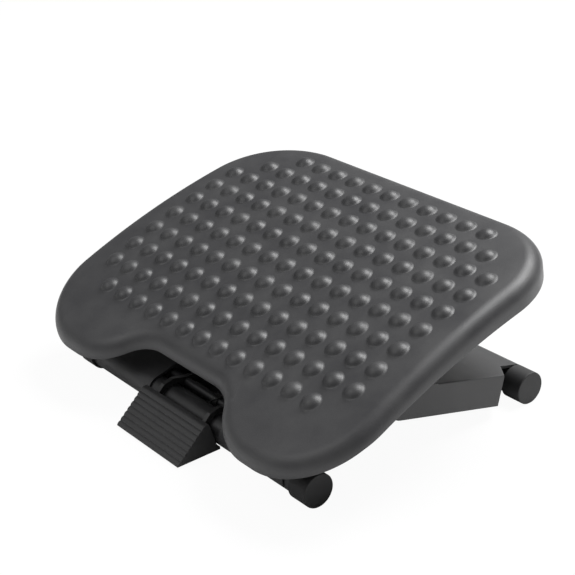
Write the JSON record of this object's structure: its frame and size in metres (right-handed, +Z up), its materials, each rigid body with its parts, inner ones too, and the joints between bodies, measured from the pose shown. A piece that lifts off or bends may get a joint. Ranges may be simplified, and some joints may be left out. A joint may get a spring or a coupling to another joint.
{
  "type": "tilting under-desk footrest",
  "caption": "Low footrest with a bumpy arched plate that tilts on two hinged legs over rubber-capped foot bars, with a ribbed foot pedal that frees its height.",
  "frame": {"origin": "on the floor, under the middle of the whole footrest's box", "axes": "+X to the user's right along the foot bars, +Y away from the user towards the toe edge, +Z up"},
  "size_m": [0.502, 0.3778, 0.1853],
  "materials": {
    "platform_plastic": "fine grained black moulded polypropylene",
    "leg_plastic": "fine grained black moulded polypropylene",
    "pedal_plastic": "moulded treads, fine grain",
    "foot_rubber": "matt moulded rubber",
    "painted_tube": "black powder coat",
    "black_steel": "black coated pressed steel",
    "zinc_steel": "bright zinc plate",
    "zinc_screw": "bright zinc plate",
    "spring_steel": "spring wire, black oiled",
    "acetal": "black acetal tube",
    "nylon": "natural nylon",
    "friction_disc": "pressed fibre",
    "brake_rubber": "hard moulded friction block"
  },
  "bodies": {
    "front_foot": {"front_foot_tube": "painted_tube", "front_cap_left": "foot_rubber", "front_cap_right": "foot_rubber"},
    "rear_foot": {"rear_foot_tube": "painted_tube", "rear_cap_left": "foot_rubber", "rear_cap_right": "foot_rubber"},
    "front_leg": {"front_leg_tray": "leg_plastic", "front_saddle_left": "leg_plastic", "front_saddle_right": "leg_plastic", "front_saddle_screws": "zinc_screw", "hinge_shaft": "zinc_steel", "friction_washers_left": "friction_disc", "friction_washers_right": "friction_disc", "spacer_washers": "zinc_steel", "shaft_end_washers": "zinc_steel", "shaft_nut_left": "zinc_steel", "shaft_nut_right": "zinc_steel", "pedal_pin": "black_steel", "pedal_pin_sleeves": "acetal", "pedal_spring": "spring_steel", "brake_pin": "black_steel", "brake_pin_sleeves": "acetal", "mechanism_cover": "leg_plastic", "cover_screws": "zinc_screw"},
    "rear_leg": {"rear_leg_tray": "leg_plastic", "rear_saddle_left": "leg_plastic", "rear_saddle_right": "leg_plastic", "rear_saddle_screws": "zinc_screw", "brake_quadrant": "zinc_steel", "quadrant_rivets": "zinc_screw"},
    "platform": {"platform_plate": "platform_plastic", "platform_bracket_left": "leg_plastic", "platform_bracket_right": "leg_plastic", "bracket_screws_left": "zinc_screw", "bracket_screws_right": "zinc_screw", "tilt_bush_left": "nylon", "tilt_bush_right": "nylon"},
    "pedal": {"pedal_shell": "pedal_plastic", "pedal_arm_left": "black_steel", "pedal_arm_right": "black_steel", "pedal_arm_screws": "zinc_screw", "pedal_cross_rod": "black_steel"},
    "brake": {"brake_lever": "leg_plastic", "brake_pad": "brake_rubber"}
  },
  "joints": [
    {"name": "front_leg_swing", "type": "hinge", "parent": "front_foot", "child": "front_leg", "pos_m": [0, -0.12679, 0.01717], "axis": [1, 0, 0], "range_deg": [-12, 0]},
    {"name": "rear_leg_swing", "type": "hinge", "parent": "front_leg", "child": "rear_leg", "pos_m": [0, 0.01621, 0.05629], "axis": [1, 0, 0], "range_deg": [0, 24]},
    {"name": "rear_foot_turn", "type": "hinge", "parent": "rear_leg", "child": "rear_foot", "pos_m": [0, 0.15921, 0.01717], "axis": [1, 0, 0], "range_deg": [-12, 0]},
    {"name": "platform_tilt", "type": "hinge", "parent": "front_leg", "child": "platform", "pos_m": [0, 0.01621, 0.05629], "axis": [1, 0, 0], "range_deg": [-17.7, 4]},
    {"name": "pedal_press", "type": "hinge", "parent": "front_leg", "child": "pedal", "pos_m": [0, -0.10865, 0.03043], "axis": [1, 0, 0], "range_deg": [0, 1.3], "stiffness_Nm_per_rad": 20},
    {"name": "brake_release", "type": "hinge", "parent": "front_leg", "child": "brake", "pos_m": [0, -0.03469, 0.0517], "axis": [1, 0, 0], "range_deg": [-1.23, 0]}
  ],
  "couplings": [
    {"joint": "rear_leg_swing", "follows": "front_leg_swing", "ratio": -2},
    {"joint": "rear_foot_turn", "follows": "front_leg_swing", "ratio": 1},
    {"joint": "brake_release", "follows": "pedal_press", "ratio": -0.92386}
  ]
}
